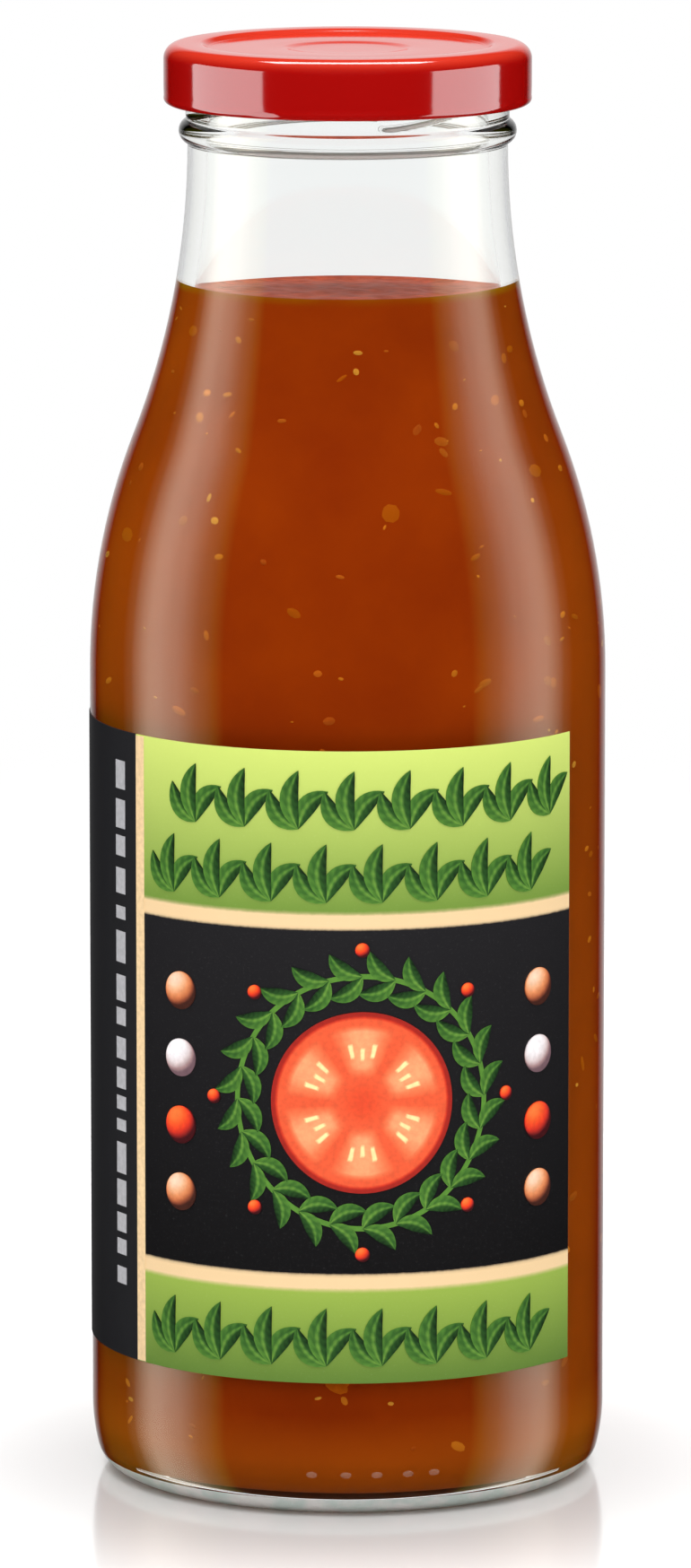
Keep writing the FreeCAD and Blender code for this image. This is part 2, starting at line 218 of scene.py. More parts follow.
LAMPS = (                     # place, aim, width, height, watts, the rays that see it, what it lights
    ("overhead_box", (0, 0.10, 0.75), (0, 0, 0.19), 0.5, 0.16, 2.4, "glossy", None),
    ("left_lid_box", (-0.693, -0.085, -0.06), (0, 0, -0.06), 0.78, 0.88, 6.4, "glossy", "lid"),
    ("right_lid_box", (0.693, -0.110, -0.06), (0, 0, -0.06), 0.73, 0.88, 6.0, "glossy", "lid"),
    ("table_glow", (0, 1.5, 0.36), (0, 0, 0), 1.2, 0.8, 2.0, "glossy", "table"),
    ("front_fill", (0, -1.3, 0.75), (0, 0, 0.1), 1.4, 1.0, 6.2, "diffuse", None),
    ("overhead_fill", (0, 0, 1.5), (0, 0, 0), 1.8, 1.8, 39.0, "diffuse", None),
)
for name, place, target, width, height, power, kind, use in LAMPS:
    lamp = bpy.data.lights.new(name, "AREA")
    lamp.shape = "RECTANGLE"
    lamp.size = width
    lamp.size_y = height
    lamp.energy = power
    lamp.color = OVERHEAD_COLOUR if name == "overhead_fill" else (1, 1, 1)
    fixture = bpy.data.objects.new(name, lamp)
    aim = np.subtract(target, place)
    turn = math.atan2(aim[1], aim[0]) - math.pi / 2 if math.hypot(aim[0], aim[1]) > 1e-6 else 0
    fixture.location = place
    fixture.rotation_euler = (math.atan2(math.hypot(aim[0], aim[1]), -aim[2]), 0, turn)
    for seen in ("camera", "diffuse", "glossy", "transmission"):
        setattr(fixture, "visible_" + seen, seen == kind)
    if use:
        fixture.light_linking.receiver_collection = lit_by[use]
    bpy.context.scene.collection.objects.link(fixture)


# The jar is one piece of moulded soda-lime glass, faintly green: body, shoulder, neck and finish.
# The mould leaves a bead under the lid, four slanting thread ribs, and a knurled ring to stand on.
RIM_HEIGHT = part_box("glass_jar")[1].z
BODY_RADIUS = 35.5 * MM
WALL = 2.6 * MM
HEEL_RADIUS = 4.3 * MM
HEEL_TAPER = 0.6 * MM
HEEL_HEIGHT = 9.5 * MM
BEARING_WIDTH = 1.8 * MM
PUSH_UP = 2.6 * MM
CROWN_THICKNESS = 2.8 * MM
BASE_THICKNESS = 2.5 * MM
FLOOR_CORNER = 5.0 * MM
KNURLS = 76                   # short bars across the bearing ring
KNURL_DEPTH = 0.28 * MM
KNURL_REACH = (28.3 * MM, 31.2 * MM)    # radii where the bars start and end
KNURL_FADE = (0.6 * MM, 0.7 * MM)       # and over what width they rise and fall
KNURL_TOP = 5 * MM
STIPPLE_INNER = 26 * MM
STIPPLE_TOP = 2.6 * MM
DOT_MIDDLES = (-8.0, -0.4, 6.5, 13.5, 19.5)   # azimuths
DOT_HEIGHT = 6.1 * MM
DOT_HALF_WIDTH = 0.75 * MM
DOT_HALF_HEIGHT = 0.45 * MM
DOT_RISE = 0.12 * MM
DOT_CORNERS = 14
SHOULDER_START = 112.0 * MM
SHOULDER_SHARE = 0.45         # the lower arc's share of the shoulder
NECK_RADIUS = 21.9 * MM
FINISH_RADIUS = 22.1 * MM
RIM_ROUND = 0.8 * MM
BEAD_RADIUS = 1.75 * MM
BEAD_MIDDLE = (21.35 * MM, 186.32 * MM)
NECK_TOP = 184.42 * MM
MOULD_BLEND = 0.25 * MM       # how softly bead and ribs run into the wall
RIB_STARTS = 4
RIB_RADIUS = 0.95 * MM
RIB_CENTRE_RADIUS = 22.45 * MM
RIB_HEIGHT = 191.22 * MM
RIB_SPAN = 50.0
RIB_LEAN = 9.7
RIB_END_RADIUS = 6.0 * MM
RIB_END_TURN = 40.0
FIRST_RIB = 46.5              # azimuth of its middle
FINISH_ROW = 0.19 * MM        # between rows of points up the finish
GLASS_COLUMNS = KNURLS * 6


def round_grid(points, first_pole, last_pole):
    """Points and faces of a surface that closes round the jar. points is (rows, columns, 3): rows run
    along the outline and columns round the axis. A pole draws its whole row together into one point."""
    rows, columns = points.shape[:2]
    index = np.arange(rows * columns).reshape(rows, columns)
    low = index[:-1]
    high = index[1:]
    quads = np.stack([low, np.roll(low, -1, 1), np.roll(high, -1, 1), high], -1)
    start = 1 if first_pole else 0
    stop = rows - 2 if last_pole else rows - 1
    faces = quads[start:stop].reshape(-1, 4).tolist()
    if first_pole:
        fan = quads[0]
        faces += np.stack([np.full(columns, index[0, 0]), fan[:, 2], fan[:, 3]], -1).tolist()
    if last_pole:
        fan = quads[-1]
        faces += np.stack([fan[:, 0], fan[:, 1], np.full(columns, index[-1, 0])], -1).tolist()
    used = np.zeros(rows * columns, bool)
    used[np.concatenate([np.ravel(face) for face in faces])] = True
    renumber = np.cumsum(used) - 1
    return points.reshape(-1, 3)[used], [tuple(renumber[list(face)].tolist()) for face in faces]


def arc(centre, radius, start, end, count):
    """Outline points on an arc about a centre; angles are in degrees above straight outwards."""
    angle = np.radians(np.linspace(start, end, count))
    return np.stack([centre[0] + radius * np.cos(angle), centre[1] + radius * np.sin(angle)], -1)


def dome(crown, edge, count):
    """Outline points on a ball that is level at its crown on the axis and passes through its edge."""
    drop = crown - edge[1]
    ball = (edge[0] ** 2 + drop ** 2) / (2 * drop)
    radius = np.linspace(0, edge[0], count)
    return np.stack([radius, crown - ball + np.sqrt(ball ** 2 - radius ** 2)], -1)


def smooth_max(one, other, blend):
    """The larger of two fields, with a parabola of width blend where they cross."""
    overlap = np.maximum(blend - np.abs(one - other), 0) / blend
    return np.maximum(one, other) + overlap ** 2 * blend / 4


def shoulder(inset, lower_count, upper_count):
    """The shoulder's S: a convex arc and a concave one, tangent to body, neck and each other."""
    rise = NECK_TOP - SHOULDER_START
    step = BODY_RADIUS - NECK_RADIUS
    both = (rise ** 2 + step ** 2) / (2 * step)
    lower = SHOULDER_SHARE * both
    upper = both - lower
    lean = math.degrees(math.asin(rise / both))
    convex = arc((BODY_RADIUS - lower, SHOULDER_START), lower - inset, 0, lean, lower_count)
    concave = arc((NECK_RADIUS + upper, NECK_TOP), upper + inset, 180 + lean, 180, upper_count)
    return np.vstack([convex, concave[1:]])


def outer_outline():
    """Outside of the jar from the middle of its base up to the finish."""
    bearing_outer = BODY_RADIUS - HEEL_RADIUS - HEEL_TAPER
    bearing_inner = bearing_outer - BEARING_WIDTH
    inset = HEEL_RADIUS + HEEL_TAPER
    rise = HEEL_HEIGHT - HEEL_RADIUS
    slack = (inset ** 2 + rise ** 2 - HEEL_RADIUS ** 2) / (2 * HEEL_TAPER)
    meet = -math.degrees(math.atan2(rise, slack - inset))
    return np.vstack([
        dome(PUSH_UP, (bearing_inner, 0), 8)[:-1],
        [(bearing_inner - 0.25 * MM, 0.12 * MM), (bearing_inner + 0.1 * MM, 0)],   # a broken edge
        [(bearing_inner + BEARING_WIDTH / 2, 0)],
        arc((bearing_outer, HEEL_RADIUS), HEEL_RADIUS, -90, meet, 20),
        arc((BODY_RADIUS - slack, HEEL_HEIGHT), slack, meet, 0, 6)[1:],
        [(BODY_RADIUS, HEEL_HEIGHT + 2 * MM), (BODY_RADIUS, SHOULDER_START - 2 * MM)],
        shoulder(0, 16, 18)[:-1],
        [(NECK_RADIUS, NECK_TOP - 0.3 * MM)],
    ])


def inner_outline():
    """Inside of the jar from the middle of its floor up to the rim."""
    bore = NECK_RADIUS - WALL
    inner = BODY_RADIUS - WALL
    crown = PUSH_UP + CROWN_THICKNESS
    edge = (BODY_RADIUS - HEEL_RADIUS - HEEL_TAPER, BASE_THICKNESS)
    drop = crown - edge[1]
    ball = (edge[0] ** 2 + drop ** 2) / (2 * drop)
    corner_x = inner - FLOOR_CORNER
    corner_z = crown - ball + math.sqrt((ball + FLOOR_CORNER) ** 2 - corner_x ** 2)
    tilt = math.degrees(math.atan2(corner_z - crown + ball, corner_x))
    touch = (corner_x - FLOOR_CORNER * math.cos(math.radians(tilt)),
             corner_z - FLOOR_CORNER * math.sin(math.radians(tilt)))
    return np.vstack([
        dome(crown, touch, 9)[:-1],
        arc((corner_x, corner_z), FLOOR_CORNER, tilt - 180, 0, 12),
        [(inner, corner_z + 2 * MM), (inner, SHOULDER_START - 2 * MM)],
        shoulder(WALL, 14, 16),
        [(bore, NECK_TOP + 1 * MM), (bore, RIM_HEIGHT - RIM_ROUND)],
    ])


def rib_line():
    """Azimuth, radius and height along one rib's middle: a ring arc that leans about its own middle, with
    a tighter arc at each end that turns it into the wall."""
    lean = math.radians(RIB_LEAN)
    half_span = math.radians(RIB_SPAN / 2)
    turn = np.linspace(0, math.radians(RIB_END_TURN), 12)
    hub = RIB_CENTRE_RADIUS - RIB_END_RADIUS
    bar = np.linspace(-half_span, half_span, 41)
    out_of_hub = hub * np.exp(1j * half_span) + RIB_END_RADIUS * np.exp(1j * (half_span + turn[1:]))
    line = np.concatenate([np.conj(out_of_hub)[::-1], RIB_CENTRE_RADIUS * np.exp(1j * bar), out_of_hub])
    along = line.imag * math.cos(lean)
    return np.arctan2(along, line.real), np.hypot(along, line.real), RIB_HEIGHT + line.imag * math.sin(lean)


def finish_radius(height, azimuth):
    """Radius of the finish: the plain wall, the bead and the ribs, each run softly into the next."""
    wall = np.where(height > BEAD_MIDDLE[1], FINISH_RADIUS, NECK_RADIUS) + 0 * azimuth
    off = (height - BEAD_MIDDLE[1]) / BEAD_RADIUS
    bead = BEAD_MIDDLE[0] + BEAD_RADIUS * np.sqrt(np.maximum(1 - off ** 2, 0)) - (np.abs(off) >= 1)
    radius = smooth_max(wall, bead, MOULD_BLEND)
    line_azimuth, line_radius, line_height = rib_line()
    for start in range(RIB_STARTS):
        middle = math.radians(FIRST_RIB + start * 360 / RIB_STARTS)
        local = (azimuth - middle + math.pi) % TAU - math.pi
        centre = np.interp(local, line_azimuth, line_radius, left=0, right=0)
        level = np.interp(local, line_azimuth, line_height)
        off = (height - level) * math.cos(math.radians(RIB_LEAN)) / RIB_RADIUS
        rib = np.where(np.abs(off) < 1, centre + RIB_RADIUS * np.sqrt(np.maximum(1 - off ** 2, 0)), 0)
        radius = smooth_max(radius, rib, MOULD_BLEND)
    return radius


azimuth = np.arange(GLASS_COLUMNS) * TAU / GLASS_COLUMNS
outside = outer_outline()
finish_height = np.arange(NECK_TOP - 0.15 * MM, RIM_HEIGHT - RIM_ROUND, FINISH_ROW)
rim = arc((FINISH_RADIUS - RIM_ROUND, RIM_HEIGHT - RIM_ROUND), RIM_ROUND, 0, 90, 6)
lip = arc((NECK_RADIUS - WALL + RIM_ROUND, RIM_HEIGHT - RIM_ROUND), RIM_ROUND, 90, 180, 6)[:-1]
inside = inner_outline()
upper = np.vstack([rim, lip, inside[::-1]])
jar_points = np.concatenate([
    around(outside[:, :1], outside[:, 1:], azimuth),
    around(finish_radius(finish_height[:, None], azimuth), finish_height[:, None], azimuth),
    around(upper[:, :1], upper[:, 1:], azimuth),
])
from_axis = np.hypot(jar_points[..., 0], jar_points[..., 1])
knurled = np.clip((from_axis - KNURL_REACH[0]) / KNURL_FADE[0], 0, 1)
knurled *= np.clip((KNURL_REACH[1] - from_axis) / KNURL_FADE[1], 0, 1)
knurled *= jar_points[..., 2] < KNURL_TOP
knurled[len(outside):] = 0
between = 0.5 + 0.5 * np.cos(KNURLS * azimuth)
jar_points[..., 2] += KNURL_DEPTH * knurled * between ** 4

glass, nodes, shader = new_material(
    "jar_glass", Base_Color=(0.985, 0.996, 0.992, 1), Roughness=0.0, IOR=1.5, Transmission_Weight=1.0)
lets_through = nodes.nodes.new("ShaderNodeBsdfTransparent")
lets_through.inputs["Color"].default_value = (0.96, 0.97, 0.965, 1)
kinds = add(nodes, "LightPath")
lamp_ray = add(nodes, "Math", operation="MAXIMUM", n0=kinds.outputs["Is Shadow Ray"],
               n1=kinds.outputs["Is Diffuse Ray"])
either = add(nodes, "MixShader", n0=lamp_ray.outputs[0], n1=shader.outputs[0], n2=lets_through.outputs[0])
nodes.links.new(either.outputs[0], nodes.nodes["Material Output"].inputs["Surface"])


def two_tones(nodes, factor, *stops):
    """Colours between two stops; a stop is its place from 0 to 1, then its red, green and blue."""
    ramp = add(nodes, "ValToRGB", Fac=factor)
    for element, (position, *colour) in zip(ramp.color_ramp.elements, stops):
        element.position = position
        element.color = (*colour, 1)
    return ramp.outputs["Color"]


def on_faces(piece, field):
    """A vector for each face of a piece: its middle, field "center", or its way out, field "normal"."""
    values = np.zeros(len(piece.data.polygons) * 3)
    piece.data.polygons.foreach_get(field, values)
    return values.reshape(-1, 3)


# Round the bearing ring the glass is cloudy and pale: partly as stippled glass is, and partly painted light,
# its pale colour standing in for the light the base gathers from the sides.
ring_glass, nodes, shader = new_material(
    "stippled_glass", Roughness=0.3, IOR=1.5, Transmission_Weight=0.3)
place = add(nodes, "TexCoord")
stipple = add(nodes, "TexNoise", Vector=place.outputs["Object"], Scale=900.0, Detail=3.0)
mottle = add(nodes, "TexNoise", Vector=place.outputs["Object"], Scale=260.0, Detail=2.0)
pale_with_painted_light = two_tones(nodes, mottle.outputs["Fac"], (0.38, 0.76, 0.88, 0.83), (0.60, 1.0, 1.0, 0.97))
nodes.links.new(pale_with_painted_light, shader.inputs["Base Color"])
dents = add(nodes, "Bump", Strength=0.5, Distance=0.2 * MM, Height=stipple.outputs["Fac"])
nodes.links.new(dents.outputs["Normal"], shader.inputs["Normal"])

jar = grid_object("jar", *round_grid(jar_points, True, True), glass)
jar.data.materials.append(ring_glass)
centres = on_faces(jar, "center")
on_foot = (centres[:, 2] < STIPPLE_TOP) & (on_faces(jar, "normal")[:, 2] < -0.3)
on_foot &= np.hypot(centres[:, 0], centres[:, 1]) > STIPPLE_INNER
jar.data.polygons.foreach_set("material_index", on_foot.astype(np.int32))
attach(jar, "root")
lit_by["jar"].objects.link(jar)
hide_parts("glass_jar")

# A row of five small round marks of the mould stands out over the heel.
corner = np.arange(DOT_CORNERS) * TAU / DOT_CORNERS
heel = outside[9:40]          # from the bearing ring up
domes = []
for middle in DOT_MIDDLES:
    for size, rise in ((1.0, -0.1), (0.8, 0.5), (0.45, 0.9), (0.0, 1.0)):
        height = DOT_HEIGHT + size * DOT_HALF_HEIGHT * np.sin(corner)
        radius = np.interp(height, heel[:, 1], heel[:, 0]) + rise * DOT_RISE
        across = size * DOT_HALF_WIDTH * np.cos(corner)
        domes.append(around(radius, height, math.radians(middle) + across / radius))
dot_points, dot_faces = [], []
for first in range(0, len(domes), 4):
    points, faces = round_grid(np.stack(domes[first:first + 4]), False, True)
    dot_faces += [tuple(index + len(dot_points) for index in face) for face in faces]
    dot_points += points.tolist()
# The dots' faint pale warm tint is a painted highlight, standing in for the light the little domes catch.
dot_painted_highlight = new_material(
    "heel_dot_painted_highlight", Base_Color=(1.0, 0.85, 0.7, 1), Roughness=0.4, IOR=1.5, Alpha=0.10)[0]
dots = grid_object("heel_dots", dot_points, dot_faces, dot_painted_highlight)
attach(dots, "root")
lit_by["jar"].objects.link(dots)


# The pulp fills the jar to just below the neck and reaches a hair into the wall, as wet food does.
# It is thick and opaque, orange-brown with paler clouds, and its top lies a little lower at the back.
PULP_INTO_WALL = 0.06 * MM
FILL_FRONT = 165.5 * MM       # height at the front and the sides
FILL_SLUMP = 1.8 * MM         # how much lower it lies at the back
FILL_RADIUS = 21.1 * MM
FLOOR_TOP = 11 * MM           # up to here the pulp keeps the inside's own outline points
MENISCUS = 0.5 * MM
MENISCUS_REACH = 0.9 * MM
PULP_COLUMNS = 240
SURFACE_RELIEF = 0.14 * MM
PULP_STOPS = ((0.32, 0.200, 0.0180, 0.0), (0.72, 0.262, 0.030, 0.0))
FROTH_AND_SHEEN_STOPS = ((0.36, 0.33, 0.048, 0.018), (0.68, 0.60, 0.105, 0.045))
OIL_COLOUR = (0.235, 0.115, 0.0)
OIL_DEPTH = 1.1 * MM          # a line of clear yellow oil round the top
FOOT_PAINTED_LIGHT = (0.42, 0.095, 0.004)
FOOT_LIGHT_REACH = (4 * MM, 14 * MM)  # heights over which the painted light at the pulp's foot fades out
FOOT_LIGHT_SHARE = 0.6


def pulp_level(radius, azimuth):
    """Height of the settled surface: level in front, sinking smoothly behind the axis."""
    back = -radius * np.cos(azimuth) / FILL_RADIUS
    behind = (back + np.sqrt(back ** 2 + 0.03)) / 2
    return FILL_FRONT - FILL_SLUMP * behind * (1.6 - 0.6 * behind)


def inner_radius(height):
    """Radius of the jar's inside, straight between the points of its outline from the floor's corner up."""
    return np.interp(height, inside[8:, 1], inside[8:, 0])


azimuth = np.arange(PULP_COLUMNS) * TAU / PULP_COLUMNS
floor = inside[inside[:, 1] < FLOOR_TOP]
bottom = around(floor[:, :1], floor[:, 1:], azimuth)
bottom[..., 2] -= PULP_INTO_WALL
bottom[..., :2] *= 1 + PULP_INTO_WALL / BODY_RADIUS
share = np.concatenate([np.linspace(0, 0.985, 80)[1:], np.linspace(0.985, 1, 10)[1:]])[:, None]
height = floor[-1, 1] + share * (pulp_level(FILL_RADIUS, azimuth) - floor[-1, 1])
radius = inner_radius(height) + PULP_INTO_WALL
side_wall = around(radius, height, azimuth)
inward = np.concatenate([np.linspace(0, 0.12, 8), np.linspace(0.15, 1, 34)])[1:, None]
radius = radius[-1] * (1 - inward)
surface = around(radius, pulp_level(radius, azimuth), azimuth)
# Slow waves that cross, and two quicker ones, make the surface uneven; at the glass it turns up.
x, y = surface[..., 0] / MM, surface[..., 1] / MM
swell = (np.sin(0.5 * x + 1.3 * np.sin(0.3 * y)) * np.sin(0.4 * y + 0.2 * x + 1)
         + 0.4 * np.sin(1.1 * x - 0.6 * y + 2) + 0.3 * np.sin(0.9 * y + 1.4 * x))
sink = MENISCUS * (1 - np.exp(-inward * FILL_RADIUS / MENISCUS_REACH))
surface[..., 2] += SURFACE_RELIEF * swell * np.clip(inward * 8, 0, 1) - sink
pulp_points = np.concatenate([bottom, side_wall, surface])

pulp_material, nodes, shader = new_material(
    "tomato_pulp", Roughness=0.5, IOR=1.4, Specular_IOR_Level=0.03)
place = add(nodes, "TexCoord")
cloud = add(nodes, "TexNoise", Vector=place.outputs["Object"], Scale=48.0, Detail=5.0, Roughness=0.55)
tone = two_tones(nodes, cloud.outputs["Fac"], *PULP_STOPS)
oily = add(nodes, "Attribute", attribute_name="oil")
# The foot of the pulp is painted paler: painted light, standing in for light that reaches it there.
low = add(nodes, "Attribute", attribute_name="low")
paler = add(nodes, "Mix", data_type="RGBA", n0=low.outputs["Fac"], n6=tone, n7=(*FOOT_PAINTED_LIGHT, 1))
stained = add(nodes, "Mix", data_type="RGBA", n0=oily.outputs["Fac"],
              n6=paler.outputs[2], n7=(*OIL_COLOUR, 1))
nodes.links.new(stained.outputs[2], shader.inputs["Base Color"])

# The surface is a froth, drawn out sideways and painted pinker and paler than the pulp: partly the froth's
# own colour, partly painted sheen standing in for reflections of the lamps.
surface_material, nodes, shader = new_material(
    "pulp_surface", Base_Color=(0.46, 0.075, 0.030, 1), Roughness=0.45, IOR=1.4, Specular_IOR_Level=0.02)
place = add(nodes, "TexCoord")
drawn_out = add(nodes, "Mapping", Vector=place.outputs["Object"], Scale=(1, 2.2, 1))
froth_and_sheen = add(nodes, "TexNoise", Vector=drawn_out.outputs[0], Scale=330.0, Detail=4.0, Roughness=0.65)
nodes.links.new(two_tones(nodes, froth_and_sheen.outputs["Fac"], *FROTH_AND_SHEEN_STOPS), shader.inputs["Base Color"])
pulp = grid_object("pulp", *round_grid(pulp_points, True, True), pulp_material)
pulp.data.materials.append(surface_material)
placed = np.zeros(len(pulp.data.vertices) * 3)
pulp.data.vertices.foreach_get("co", placed)
azimuth = np.arctan2(placed[::3], -placed[1::3])
from_top = (pulp_level(FILL_RADIUS, azimuth) - placed[2::3]) / OIL_DEPTH
# The oil shows most at the sides, and unevenly round the jar.
oil_line = np.clip(1 - from_top, 0, 1) * (0.3 + 0.7 * np.abs(np.sin(azimuth)) ** 1.5)
oil_line *= 0.75 + 0.25 * np.sin(9 * azimuth + 2 * np.sin(4 * azimuth))
store(pulp, "oil", oil_line)
# The painted light at the foot fades out upwards.
foot_light_share = (FOOT_LIGHT_REACH[1] - placed[2::3]) / (FOOT_LIGHT_REACH[1] - FOOT_LIGHT_REACH[0])
store(pulp, "low", np.clip(foot_light_share, 0, 1) * FOOT_LIGHT_SHARE)
on_top = (on_faces(pulp, "normal")[:, 2] > 0.5) & (on_faces(pulp, "center")[:, 2] > FILL_FRONT - 5 * MM)
pulp.data.polygons.foreach_set("material_index", on_top.astype(np.int32))
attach(pulp, "root")
lit_by["jar"].objects.link(pulp)
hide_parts("tomato_pulp")


# Bits of tomato in the pulp press against the glass: flat flecks of paler and darker flesh. Most lie in
# the body, some gather on the shoulder just under the top.
SHOULDER_BITS = 120
BODY_BITS = 260
SHOULDER_HEIGHTS = (118 * MM, FILL_FRONT - 2.5 * MM)
BODY_HEIGHTS = (8 * MM, 118 * MM)
BIT_SIZES = (0.28 * MM, 1.15 * MM)       # half lengths
BIT_SMALLNESS = 1.7                      # the power that makes small bits the commoner
BIT_TONES = np.array([(0.44, 0.12, 0.006), (0.36, 0.075, 0.004), (0.30, 0.050, 0.003), (0.50, 0.20, 0.02)])
BIT_SHARES = (0.42, 0.30, 0.16, 0.12)
SOFT_BITS = 110                          # larger pieces that hardly differ from the pulp
SOFT_HEIGHTS = (9 * MM, FILL_FRONT - 5 * MM)
SOFT_SIZES = (0.8 * MM, 1.6 * MM)
SOFT_TONE = (0.33, 0.064, 0.001)
BIT_WIDTHS = (0.35, 0.8)                 # as shares of the length
BIT_CORNERS = 10
BIT_PROUD = 0.06 * MM
draw = np.random.default_rng(31)
small = SHOULDER_BITS + BODY_BITS
count = small + SOFT_BITS
middle_z = np.concatenate([draw.uniform(*SHOULDER_HEIGHTS, SHOULDER_BITS),
                           draw.uniform(*BODY_HEIGHTS, BODY_BITS),
                           draw.uniform(*SOFT_HEIGHTS, SOFT_BITS)])
middle_azimuth = draw.uniform(0, TAU, count)
larger = draw.random(small) ** BIT_SMALLNESS
half_length = np.concatenate([BIT_SIZES[0] + (BIT_SIZES[1] - BIT_SIZES[0]) * larger,
                              draw.uniform(*SOFT_SIZES, SOFT_BITS)])
half_width = half_length * draw.uniform(*BIT_WIDTHS, count)
turn = draw.normal(0, 0.5, count)
corner = np.arange(BIT_CORNERS) * TAU / BIT_CORNERS
wander = 1 + 0.18 * np.sin(2 * corner + draw.uniform(0, TAU, (count, 1)))
rings = []
for size, proud in ((1.0, -0.04 * MM), (0.72, BIT_PROUD)):
    u = size * wander * half_length[:, None] * np.cos(corner)
    v = size * wander * half_width[:, None] * np.sin(corner)
    across = u * np.cos(turn)[:, None] - v * np.sin(turn)[:, None]
    height = middle_z[:, None] + u * np.sin(turn)[:, None] + v * np.cos(turn)[:, None]
    radius = inner_radius(height) + PULP_INTO_WALL + proud
    rings.append(around(radius, height, middle_azimuth[:, None] + across / radius))
bit_points = np.concatenate(rings, 1)
here = np.arange(BIT_CORNERS)
ahead = np.roll(here, -1)
one_bit = np.stack([here, ahead, ahead + BIT_CORNERS, here + BIT_CORNERS], -1).tolist()
one_bit.append(range(BIT_CORNERS, 2 * BIT_CORNERS))
bit_faces = [[index + 2 * BIT_CORNERS * bit for index in face] for bit in range(count) for face in one_bit]
bit_material, nodes, shader = new_material("tomato_flesh", Roughness=0.5, IOR=1.4, Specular_IOR_Level=0.03)
tone = add(nodes, "Attribute", attribute_name="flesh")
nodes.links.new(tone.outputs["Color"], shader.inputs["Base Color"])
bits = grid_object("pulp_bits", bit_points, bit_faces, bit_material)
tones = np.vstack([BIT_TONES[draw.choice(len(BIT_TONES), small, p=BIT_SHARES)],
                   np.tile(SOFT_TONE, (SOFT_BITS, 1))])
tones = tones * draw.uniform(0.85, 1.1, (count, 1))
flesh = np.repeat(tones, 2 * BIT_CORNERS, 0)
store(bits, "flesh", np.pad(flesh, ((0, 0), (0, 1)), constant_values=1), "FLOAT_COLOR")
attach(bits, "root")
lit_by["jar"].objects.link(bits)


# A ring of pale sealing compound, flowed into the lid, is pressed on the rim.
SEAL_INNER = 20.3 * MM
SEAL_OUTER = 23.0 * MM
SEAL_BOTTOM = RIM_HEIGHT
SEAL_TOP = RIM_HEIGHT + 0.8 * MM
SEAL_ROUND = 0.12 * MM
SEAL_COLUMNS = 160
corners = [
    arc((SEAL_OUTER - SEAL_ROUND, SEAL_BOTTOM + SEAL_ROUND), SEAL_ROUND, -90, 0, 4),
    arc((SEAL_OUTER - SEAL_ROUND, SEAL_TOP - SEAL_ROUND), SEAL_ROUND, 0, 90, 4),
    arc((SEAL_INNER + SEAL_ROUND, SEAL_TOP - SEAL_ROUND), SEAL_ROUND, 90, 180, 4),
    arc((SEAL_INNER + SEAL_ROUND, SEAL_BOTTOM + SEAL_ROUND), SEAL_ROUND, 180, 270, 4),
]
outline = np.vstack(corners)
outline = np.vstack([outline, outline[:1]])
azimuth = np.arange(SEAL_COLUMNS) * TAU / SEAL_COLUMNS
seal_points, seal_faces = round_grid(around(outline[:, :1], outline[:, 1:], azimuth)[:-1], False, False)
first = np.arange(SEAL_COLUMNS)
last = first + SEAL_COLUMNS * (len(outline) - 2)
seal_faces += np.stack([last, np.roll(last, -1), np.roll(first, -1), first], -1).tolist()
seal_material = new_material("sealing_compound", Base_Color=(0.62, 0.56, 0.50, 1), Roughness=0.55)[0]
seal = grid_object("seal", seal_points, seal_faces, seal_material)
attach(seal, "root")
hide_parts("lid_seal")


# The lid is pressed from tinplate and lacquered red: a dished button, a raised ring over the rim, a
# round crown, a straight skirt and a rolled edge. Four lugs of that edge are pressed in under the ribs.
LID_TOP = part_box("lid")[1].z
LID_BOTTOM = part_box("lid")[0].z
LID_RADIUS = 25.15 * MM
PLATE = 0.22 * MM
CROWN_RADIUS = 2.05 * MM
CURL_RADIUS = 0.8 * MM
RECESS = 0.6 * MM
BUTTON_DEPTH = 0.25 * MM
BUTTON_STEP = (7.0 * MM, 9.0 * MM)      # radii of the step up from the button to the panel
RING_STEP = (18.9 * MM, 20.2 * MM)      # and from the panel to the raised ring
LUG_MIDDLES = [FIRST_RIB + 17.0 + start * 360 / RIB_STARTS for start in range(RIB_STARTS)]
LUG_SPAN = 14.0
LUG_TIP = FINISH_RADIUS + 0.6 * MM
DENT_HALF_SPAN = 12.0
DENT_HEIGHT = 1.3 * MM
DENT_DEPTH = 0.25 * MM
LID_COLUMNS = 360
# The second red, for faces turned up, is painted light: brighter and more orange, standing in for the light
# that falls on the top.
SKIRT_RED = (0.37, 0.0024, 0.0018)
TOP_RED_PAINTED_LIGHT = (0.50, 0.027, 0.012)


def eased(start, end, count):
    """Outline points on a soft step from one point to the next, level at both ends."""
    share = np.linspace(0, 1, count)
    ease = share ** 2 * (3 - 2 * share)
    return np.stack([start[0] + (end[0] - start[0]) * share, start[1] + (end[1] - start[1]) * ease], -1)


